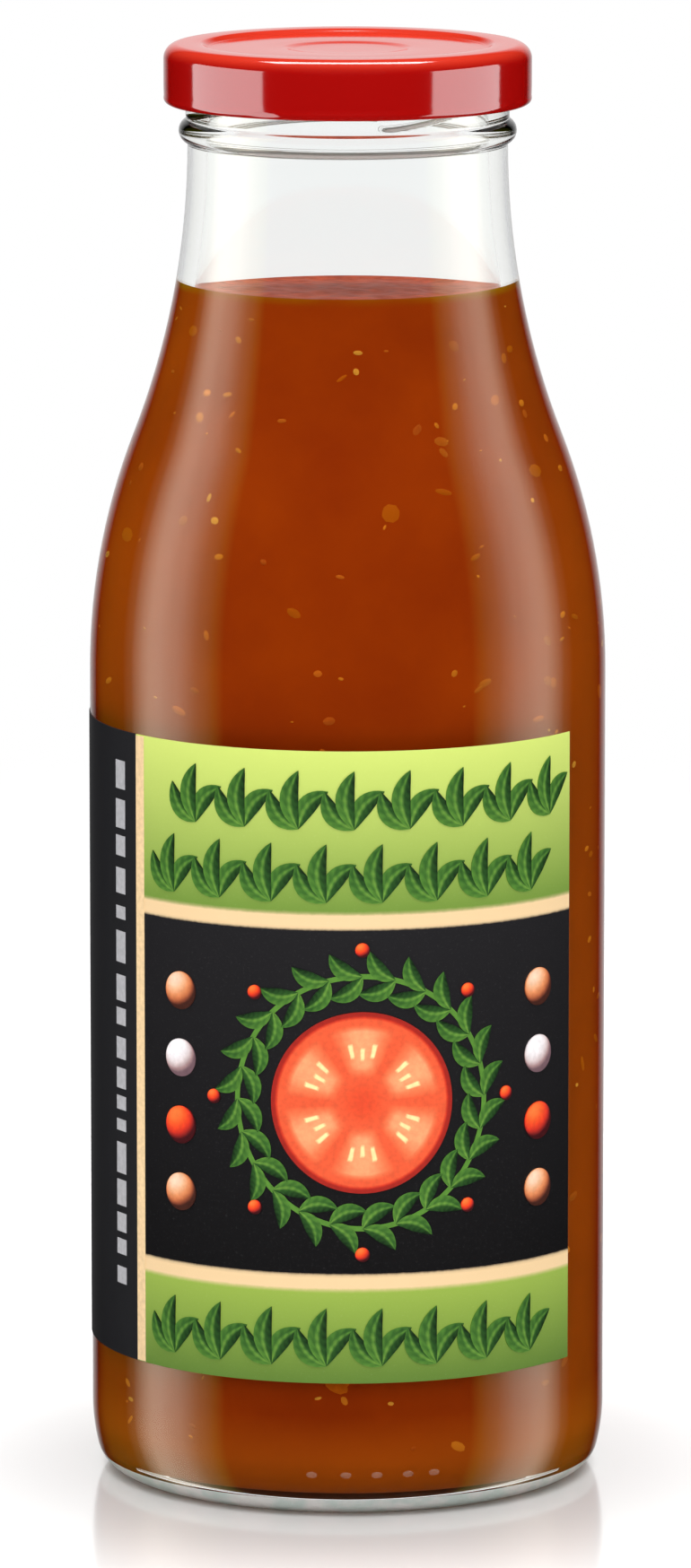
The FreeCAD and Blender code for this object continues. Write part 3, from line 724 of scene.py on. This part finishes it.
panel = LID_TOP - RECESS
button = panel - BUTTON_DEPTH
face = np.vstack([             # flat stretches have a point more, for even shading
    [(0, button), (3.5 * MM, button)],
    eased((BUTTON_STEP[0], button), (BUTTON_STEP[1], panel), 7),
    [(13 * MM, panel), (17.5 * MM, panel)],
    eased((RING_STEP[0], panel), (RING_STEP[1], LID_TOP), 9),
    [(21.6 * MM, LID_TOP)],
])
crown = (LID_RADIUS - CROWN_RADIUS, LID_TOP - CROWN_RADIUS)
curl = (LID_RADIUS - CURL_RADIUS, LID_BOTTOM + CURL_RADIUS)
skin_out = np.vstack([
    face,
    arc(crown, CROWN_RADIUS, 90, 0, 14),
    [(LID_RADIUS, crown[1] - 0.6 * MM), (LID_RADIUS, curl[1] + 1.6 * MM)],
    [(LID_RADIUS - 0.02 * MM, curl[1] + 0.9 * MM)],
    arc(curl, CURL_RADIUS, 20, -200, 26),
    [(LID_RADIUS - PLATE, curl[1] + 1.3 * MM)],
    arc(crown, CROWN_RADIUS - PLATE, 0, 90, 8),
    face[::-1] - [0, PLATE],
])
# At each lug a flat that leans inwards is pressed into the curl, and its inner side is drawn in to the tip.
azimuth = np.arange(LID_COLUMNS) * TAU / LID_COLUMNS
radius = skin_out[:, :1] + 0 * azimuth
height = skin_out[:, 1:] + 0 * azimuth
rows = np.flatnonzero(skin_out[:, 1] < curl[1] + 1.0 * MM)[:, None]
for middle in LUG_MIDDLES:
    local = (azimuth - math.radians(middle) + math.pi) % TAU - math.pi
    near = np.abs(local) < math.radians(DENT_HALF_SPAN)
    limit = LID_RADIUS - (LID_BOTTOM + DENT_HEIGHT - height[rows, :]) * DENT_DEPTH / DENT_HEIGHT
    radius[rows, :] = np.minimum(radius[rows, :], np.where(near, limit / np.cos(local), 1.0))
    window = np.clip((math.radians(LUG_SPAN / 2) - np.abs(local)) / math.radians(1.6) + 0.5, 0, 1)
    inner_side = np.clip((curl[0] - skin_out[rows[:, 0], 0]) / CURL_RADIUS, 0, 1)[:, None]
    radius[rows[:, 0]] -= inner_side * window * (curl[0] - CURL_RADIUS - LUG_TIP)
lid_points = around(radius, height, azimuth)

# Faces mix from the skirt red to the top red as they turn up, so the top carries painted light.
lacquer, nodes, shader = new_material("red_lacquer", Roughness=0.085, IOR=1.85)
place = add(nodes, "TexCoord")
facing = add(nodes, "SeparateXYZ", n0=place.outputs["Normal"])
painted_light_share = add(nodes, "MapRange", interpolation_type="SMOOTHSTEP", Value=facing.outputs["Z"],
             From_Min=0.1, From_Max=0.9)
red = add(nodes, "Mix", data_type="RGBA", n0=painted_light_share.outputs[0], n6=(*SKIRT_RED, 1), n7=(*TOP_RED_PAINTED_LIGHT, 1))
nodes.links.new(red.outputs[2], shader.inputs["Base Color"])
# Inside, the tinplate keeps a pale grey lacquer, from the curl's underside inwards.
inside_lacquer = new_material("inside_lacquer", Base_Color=(0.55, 0.54, 0.52, 1), Roughness=0.3)[0]
lid = grid_object("lid_shell", *round_grid(lid_points, True, True), lacquer)
lid.data.materials.append(inside_lacquer)
# Faces go ring by ring along the outline, and after them come the fans of its first and its last pole.
first_inside = int(np.argmin(skin_out[:, 1]))
ring_of_face = np.arange(len(lid.data.polygons)) // LID_COLUMNS
top_fan = ring_of_face[-1] - 1
on_inside = (ring_of_face + 1 >= first_inside) & (ring_of_face != top_fan)
lid.data.polygons.foreach_set("material_index", on_inside.astype(np.int32))
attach(lid, "root")
lit_by["lid"].objects.link(lid)
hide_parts("lid")


# The label is a paper band glued on the straight part of the body, with a gap between its ends from the
# right side round to the rear right. Its ground is printed in plain fields: green at the head and the
# foot, charcoal between them and round the left side, with tan lines where they meet.
LABEL_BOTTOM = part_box("label")[0].z
LABEL_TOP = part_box("label")[1].z
PAPER = 0.12 * MM
LABEL_RADIUS = BODY_RADIUS + PAPER
LABEL_RIGHT = 58.0            # azimuth of its right edge
LABEL_WRAP = 258.0            # degrees from there round the front to its left edge
INTO_GLUE = 0.03 * MM
LABEL_COLUMNS = 259
LABEL_ROWS = 60
PANEL_EDGE = -33.5 * MM       # where the side panel begins, round the label from the front
GROUND_STOPS = (              # mm up the label, and display colour
    (0, (96, 130, 48)), (12.8, (150, 178, 70)), (13.1, (236, 204, 156)), (14.9, (236, 204, 156)),
    (15.2, (22, 21, 23)), (62.6, (34, 33, 36)), (62.9, (236, 204, 156)), (64.7, (236, 204, 156)),
    (65.0, (112, 146, 54)), (87, (206, 224, 112)),
)
CHARCOAL = (37, 37, 40)


def linear(red, green, blue):
    """A display colour from 0 to 255 as light: a power of 2.4, with a straight foot near black."""
    value = np.array([red, green, blue]) / 255
    return np.where(value <= 0.04045, value / 12.92, ((value + 0.055) / 1.055) ** 2.4)


def on_label(u, v, lift):
    """Points over the label: u is the way round it from the front, v the way up it, lift the way off it."""
    return around(LABEL_RADIUS + lift, LABEL_BOTTOM + v, u / LABEL_RADIUS)


azimuth = np.radians(np.linspace(LABEL_RIGHT - LABEL_WRAP, LABEL_RIGHT, LABEL_COLUMNS))
height = np.linspace(0, LABEL_TOP - LABEL_BOTTOM, LABEL_ROWS)[:, None]
u, v = np.broadcast_arrays(azimuth * LABEL_RADIUS, height)
front = on_label(u, v, 0)
back = on_label(u, v, -PAPER - INTO_GLUE)
index = np.arange(u.size).reshape(u.shape)
behind = index + index.size
# Front and back are grids, and a strip along each of the four edges is the paper's thickness.
quads = [open_quads(*u.shape), open_quads(*u.shape)[:, ::-1] + index.size]
for near, far in ((index[0], behind[0]), (behind[-1], index[-1])):
    quads.append(np.stack([near[1:], near[:-1], far[:-1], far[1:]], -1))
for near, far in ((behind[:, 0], index[:, 0]), (index[:, -1], behind[:, -1])):
    quads.append(np.stack([near[:-1], far[:-1], far[1:], near[1:]], -1))

label_material, nodes, shader = new_material("label_ground", Roughness=0.5, Specular_IOR_Level=0.3)
place = add(nodes, "Attribute", attribute_name="print")
axes = add(nodes, "SeparateXYZ", n0=place.outputs["Vector"])
grain = add(nodes, "TexNoise", Vector=place.outputs["Vector"], Scale=1.1, Detail=6.0, Roughness=0.7)
drift = add(nodes, "MapRange", Value=grain.outputs["Fac"], To_Min=-0.12, To_Max=0.12)
raised = add(nodes, "Math", operation="ADD", n0=axes.outputs["Y"], n1=drift.outputs[0])
level = add(nodes, "Math", operation="DIVIDE", n0=raised.outputs[0], n1=GROUND_STOPS[-1][0])
ground = add(nodes, "ValToRGB", Fac=level.outputs[0])
while len(ground.color_ramp.elements) < len(GROUND_STOPS):
    ground.color_ramp.elements.new(0.5)
for stop, (up, colour) in zip(ground.color_ramp.elements, GROUND_STOPS):
    stop.position = up / GROUND_STOPS[-1][0]
    stop.color = (*linear(*colour), 1)
crumbs = add(nodes, "TexNoise", Vector=place.outputs["Vector"], Scale=2.6, Detail=3.0, Roughness=0.8)
speck = add(nodes, "MapRange", Value=crumbs.outputs["Fac"], From_Min=0.58, From_Max=0.76, To_Max=0.03)
pebbled = add(nodes, "Mix", data_type="RGBA", blend_type="ADD", n0=1.0, n6=ground.outputs["Color"])
nodes.links.new(speck.outputs[0], pebbled.inputs[7])
beside = add(nodes, "Math", operation="LESS_THAN", n0=axes.outputs["X"], n1=PANEL_EDGE / MM)
print_colour = add(nodes, "Mix", data_type="RGBA", n0=beside.outputs[0], n6=pebbled.outputs[2],
                   n7=(*linear(*CHARCOAL), 1))
nodes.links.new(print_colour.outputs[2], shader.inputs["Base Color"])

label = grid_object("label_band", np.concatenate([front.reshape(-1, 3), back.reshape(-1, 3)]),
                    np.concatenate(quads).tolist(), label_material)
store(label, "print", np.tile(np.stack([u, v, 0 * u], -1).reshape(-1, 3) / MM, (2, 1)), "FLOAT_VECTOR")
label.data.set_sharp_from_angle(angle=math.radians(50))
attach(label, "root")
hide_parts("label")


# Printed on the green fields are staggered rows of sprigs, and a tan line runs up the side panel's edge.
# Films like these are thin layers of ink: grids just off the paper, with their borders led down into it.
PRINT_RIGHT = math.radians(LABEL_RIGHT) * LABEL_RADIUS - 0.15 * MM
PRINT_HIGH = LABEL_TOP - LABEL_BOTTOM - 0.15 * MM
PRINT_LOW = 0.1 * MM
INTO_PAPER = 0.01 * MM
LAYER = 0.012 * MM            # from one film up to the film over it
SPRIG_ROWS = ((66.4, 0.0), (76.4, 0.5), (2.4, 0.0))    # foot in mm, and stagger
SPRIG_START = 7.8             # mm from the side panel's edge
SPRIG_SPACING = 7.6           # mm
SPRIGS = 8
SPRIG_LEAF = (6.6, 2.6)       # length and width in mm
MIDDLE_LEAF = (8.0, 2.6)
SPRIG_SPREAD = 38.0           # degrees between its leaves
EDGE_LINE = 1.8 * MM
LINE_LIFT = 0.04 * MM
SPRIG_LIFTS = {-1: 0.08 * MM, 1: 0.104 * MM, 0: 0.122 * MM}
BASIL_TONES = ((18, 44, 18), (42, 92, 30), (86, 138, 46), (142, 182, 74))
TAN = (236, 204, 156)


def shades(share, tones):
    """Colours along a run of evenly spaced display colours, mixed as light."""
    table = np.array([linear(*tone) for tone in tones])
    stops = np.linspace(0, 1, len(tones))
    return np.stack([np.interp(share, stops, table[:, channel]) for channel in range(3)], -1)


def ink_material(name, roughness):
    """Printing ink: the colour kept in the piece, with a faint unevenness."""
    material, nodes, shader = new_material(name, Roughness=roughness, Specular_IOR_Level=0.3)
    kept = add(nodes, "Attribute", attribute_name="ink")
    place = add(nodes, "TexCoord")
    cloud = add(nodes, "TexNoise", Vector=place.outputs["Object"], Scale=1400.0, Detail=2.0)
    uneven = add(nodes, "MapRange", Value=cloud.outputs["Fac"],
                 From_Min=0.3, From_Max=0.7, To_Min=0.9, To_Max=1.08)
    tinted = add(nodes, "VectorMath", operation="SCALE", n0=kept.outputs["Color"], Scale=uneven.outputs[0])
    nodes.links.new(tinted.outputs[0], shader.inputs["Base Color"])
    return material


def keep_ink(piece, colours):
    """Keep a colour for each point of a printed piece, and set it on the label."""
    store(piece, "ink", np.pad(colours.reshape(-1, 3), ((0, 0), (0, 1)), constant_values=1), "FLOAT_COLOR")
    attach(piece, "root")


def patch(u, v, lift, colour, closed=False):
    """Points, colours and faces of one printed film on a grid, cut off at the label's edges. Its border
    is led down into the paper, or only its last row where the grid closes round a pole."""
    u, v, lift = np.broadcast_arrays(u, v, lift)
    border = ((0, 1), (0, 0)) if closed else ((1, 1), (1, 1))
    colour = np.pad(np.broadcast_to(colour, u.shape + (3,)), (*border, (0, 0)), mode="edge")
    u = np.minimum(np.pad(u, border, mode="edge"), PRINT_RIGHT)
    v = np.clip(np.pad(v, border, mode="edge"), PRINT_LOW, PRINT_HIGH)
    lift = np.pad(lift, border, constant_values=-INTO_PAPER)
    return on_label(u, v, lift).reshape(-1, 3), colour.reshape(-1, 3), open_quads(*u.shape)


def printed(name, patches, material):
    """One piece of many films. Points that meet, at poles, seams and corners, are welded into one."""
    points, colours, faces = zip(*patches)
    starts = np.cumsum([0] + [len(part) for part in points[:-1]])
    faces = np.concatenate([part + start for part, start in zip(faces, starts)])
    piece = grid_object(name, np.concatenate(points), faces.tolist(), material)
    keep_ink(piece, np.concatenate(colours))
    weld = bmesh.new()
    weld.from_mesh(piece.data)
    bmesh.ops.remove_doubles(weld, verts=weld.verts, dist=0.0001 * MM)
    weld.to_mesh(piece.data)
    weld.free()
    piece.data.set_sharp_from_angle(angle=math.radians(50))
    return piece


def solid_leaf(u, v, aim, length, width, lift, tones):
    """A filled leaf: a ribbon on a slightly bowed path whose width follows a half sine. Its tone rises from
    one edge to the other and falls from foot to tip, with a pale rib down the middle."""
    t = np.linspace(0, 1, 13)
    bend = 0.16 * length * np.sin(math.pi * t)
    path_u = u + length * t * math.cos(aim) - bend * math.sin(aim)
    path_v = v + length * t * math.sin(aim) + bend * math.cos(aim)
    wide = width * np.sin(math.pi * np.clip(t, 0.002, 0.998)) ** 0.8
    side = np.linspace(-0.5, 0.5, 7)[:, None]
    ahead_u, ahead_v = np.gradient(path_u), np.gradient(path_v)
    reach = side * wide / np.hypot(ahead_u, ahead_v)
    rib = np.abs(side) < 0.1
    veins = np.sin(t * 40 + 9 * np.abs(side))
    tone = 0.45 + 0.5 * side + 0.35 * rib - 0.25 * t + 0.08 * veins
    return patch(path_u - reach * ahead_v, path_v + reach * ahead_u, lift, shades(np.clip(tone, 0, 1), tones))


print_ink = ink_material("label_print", 0.5)
v = np.linspace(0, PRINT_HIGH, 60)[:, None]
films = [patch(PANEL_EDGE + np.linspace(0, EDGE_LINE, 4), v, LINE_LIFT, linear(*TAN))]
for foot, stagger in SPRIG_ROWS:
    for step in range(SPRIGS):
        middle = PANEL_EDGE / MM + SPRIG_START + (step + stagger) * SPRIG_SPACING
        for side in (-1, 1, 0):
            length, width = SPRIG_LEAF if side else MIDDLE_LEAF
            films.append(solid_leaf(middle * MM, foot * MM, math.radians(90 + SPRIG_SPREAD * side),
                                    length * MM, width * MM, SPRIG_LIFTS[side], BASIL_TONES))
printed("label_border", films, print_ink)


# In the middle of the charcoal field is printed a wreath: a round stem with leaves on both sides and red
# berries outside it. A column of plain balls stands at each side of the wreath.
WREATH_MIDDLE = (2.0, 38.9)   # mm
WREATH_RADIUS = 17.4          # mm
WREATH_STEPS = 24
WREATH_LEAF = (5.4, 2.3)      # length and width in mm
WREATH_SPREAD = 34.0          # degrees from the stem to a leaf
WREATH_LIFT = 0.11 * MM
STEM_WIDTH = 0.7 * MM
STEM_LIFT = 0.08 * MM
STEM_GREEN = (86, 138, 46)
STEPS_PER_BERRY = 3
BERRY_WIDTH = 2.0             # mm
BERRY_OUT = 3.6               # mm from the stem to a berry's middle
ROUND_LIFT = 0.13 * MM
RED_TONES = ((70, 8, 16), (140, 18, 14), (206, 34, 10), (234, 58, 10), (244, 86, 20), (248, 120, 48))
BROWN_TONES = ((70, 32, 22), (140, 66, 38), (200, 110, 62), (226, 142, 90), (238, 178, 134), (248, 214, 186))
WHITE_TONES = ((112, 84, 92), (168, 134, 134), (212, 196, 196), (236, 230, 232), (250, 248, 250))
BALL_COLUMNS = (-24.6, 29.0)  # mm round the label from the front
BALL_ROWS = ((25.0, BROWN_TONES), (34.3, RED_TONES), (43.6, WHITE_TONES), (52.9, BROWN_TONES))
BALL_WIDTH = 5.2              # mm


def stroke(u, v, width, lift, colour):
    """A ribbon along a path: three rows, from half a width on its right to half a width on its left."""
    ahead_u, ahead_v = np.gradient(u), np.gradient(v)
    side = np.array([[-0.5], [0.0], [0.5]]) * width / np.hypot(ahead_u, ahead_v)
    return patch(u - side * ahead_v, v + side * ahead_u, lift, colour)


def ball_light(p, q):
    """Light on a ball at a place on its unit disc: its normal's dot product with the light's direction."""
    deep = np.sqrt(np.maximum(1 - p ** 2 - q ** 2, 0))
    return np.clip(-0.36 * p + 0.60 * q + 0.70 * deep, 0, 1)


def ball_paint(tones):
    """The paint of a plain ball in these tones."""
    return lambda p, q: shades(ball_light(p, q), tones)


def round_film(u, v, width, layer, paint, rings=15, spokes=72):
    """A disc of rings and spokes about a middle, all in mm; paint gives its colours on the unit disc."""
    ring = np.sin(np.linspace(0, math.pi / 2, rings))[:, None]
    angle = np.linspace(TAU, 0, spokes + 1)
    p, q = ring * np.cos(angle), ring * np.sin(angle)
    return patch((u + p * width / 2) * MM, (v + q * width / 2) * MM, ROUND_LIFT + layer * LAYER + 0 * p,
                 paint(p, q), closed=True)


def about_wreath(angle, out=0.0):
    """Points in mm on a ring about the wreath's middle, at angles from its right, out from its stem."""
    radius = WREATH_RADIUS + out
    return WREATH_MIDDLE[0] + radius * np.cos(angle), WREATH_MIDDLE[1] + radius * np.sin(angle)


stem_u, stem_v = about_wreath(np.linspace(0, TAU, 145))
films = [stroke(stem_u * MM, stem_v * MM, STEM_WIDTH, STEM_LIFT, linear(*STEM_GREEN))]
for step in range(WREATH_STEPS):
    angle = step * TAU / WREATH_STEPS
    foot_u, foot_v = about_wreath(angle)
    for side in (-1, 1):
        aim = angle + math.pi / 2 + math.radians(WREATH_SPREAD * side)
        films.append(solid_leaf(foot_u * MM, foot_v * MM, aim, WREATH_LEAF[0] * MM, WREATH_LEAF[1] * MM,
                                WREATH_LIFT + LAYER * side, BASIL_TONES))
    if step % STEPS_PER_BERRY == 0:
        berry = about_wreath(angle, BERRY_OUT)
        films.append(round_film(*berry, BERRY_WIDTH, 2, ball_paint(RED_TONES), 7, 24))
for u in BALL_COLUMNS:
    for v, tones in BALL_ROWS:
        films.append(round_film(u, v, BALL_WIDTH, 0, ball_paint(tones)))
printed("label_wreath", films, print_ink)


# Inside the wreath is printed a round of cut tomato: a firm core, six paler chambers with seeds in them,
# and a dark skin.
SLICE_WIDTH = 25.0            # mm
CORE = (0.28, 0.12)           # on the unit disc: where the chambers begin, and over what width they fade in
FLESH = (0.86, 0.07)          # where they end, and over what width they fade out
SKIN = (0.92, 0.04)           # where the skin begins, and its fade
SEED = (250, 226, 160)
SEED_RING = (0.60, 0.06)      # the seeds' mean distance from the middle, and how far it swings
SLICE_TONES = ((150, 20, 10), (206, 44, 18), (230, 78, 38), (242, 118, 72), (250, 170, 118))


def slice_paint(p, q):
    """Chambers are six rounded wedges, |sin 3a| round the disc, between the core and the outer flesh. A
    seed is where cos 30a is low, in a chamber and near a ring whose radius swings with cos 6a."""
    reach, turn = np.hypot(p, q), np.arctan2(q, p)
    wedge = np.clip(1.5 * np.abs(np.sin(3 * turn)) ** 0.8 - 0.45, 0, 1)
    chamber = wedge * np.clip((reach - CORE[0]) / CORE[1], 0, 1)
    chamber = chamber * np.clip((FLESH[0] - reach) / FLESH[1], 0, 1)
    heart = np.exp(-(reach / 0.16) ** 2)
    skin = np.clip((reach - SKIN[0]) / SKIN[1], 0, 1)
    tone = 0.55 + 0.38 * chamber - 0.12 * heart - 0.5 * skin
    near_ring = np.abs(reach - SEED_RING[0] - SEED_RING[1] * np.cos(6 * turn)) < 0.07
    seeds = (chamber > 0.5) & (np.cos(30 * turn) < -0.45) & near_ring
    return np.where(seeds[..., None], linear(*SEED), shades(np.clip(tone, 0, 1), SLICE_TONES))


printed("label_slice", [round_film(*WREATH_MIDDLE, SLICE_WIDTH, 0, slice_paint, 44, 240)], print_ink)


# Round the side, the charcoal panel carries fine print, here as plain pale bars: one upright row beside
# the tan line, then blocks of short lines and a ruled table. Lengths are in mm.
FINE_INK = linear(196, 196, 200)
FINE_LIFT = 0.03 * MM
UPRIGHT_LEFT = 5.4            # left of the side panel's edge
UPRIGHT_WIDTH = 2.6
UPRIGHT_ENDS = (10.0, 80.0)
TEXT_BLOCKS = ((-104, -62, 46, 22), (-104, -62, 12, 14))    # left, right, foot, lines
TEXT_STEP = 1.55
TEXT_TALL = 0.7
WORDS = (2.0, 8.0)
RULES = 9
RULES_LEFT = -121.5
RULES_FOOT = 16
RULES_STEP = 4.6
RULES_LONG = 14
draw = np.random.default_rng(12)


def bar(u, v, length, thickness):
    """A level bar in mm from a point to the right, with a point at least every millimetre."""
    length *= MM
    return patch(u * MM + np.linspace(0, length, max(2, int(length / MM) + 2)),
                 v * MM + np.array([[0.0], [thickness * MM]]), FINE_LIFT, FINE_INK)


films = []
v = UPRIGHT_ENDS[0]
while v < UPRIGHT_ENDS[1]:
    tall = draw.uniform(1.6, 4.6)
    films.append(patch((PANEL_EDGE / MM - UPRIGHT_LEFT + np.linspace(0, UPRIGHT_WIDTH, 5)) * MM,
                       (v + np.linspace(0, tall, 5)[:, None]) * MM, FINE_LIFT, FINE_INK * 0.75))
    v += tall + draw.uniform(0.8, 1.8)
for left, right, low, rows in TEXT_BLOCKS:
    for row in range(rows):
        u = left
        while u < right - 3:
            word = min(draw.uniform(*WORDS), right - u)
            films.append(bar(u, low + TEXT_STEP * row, word, TEXT_TALL))
            u += word + 1.0
for row in range(RULES):
    v = RULES_FOOT + RULES_STEP * row
    films.append(bar(RULES_LEFT, v, RULES_LONG, 0.22))
    if row < RULES - 1:
        films.append(bar(RULES_LEFT + 1, v + 1.6, draw.uniform(4, 7), 0.8))
        films.append(bar(RULES_LEFT + 10, v + 1.6, 2.6, 0.8))
printed("label_fine_print", films, print_ink)


# Colours go out as they are written.
bpy.context.scene.view_settings.view_transform = "Standard"
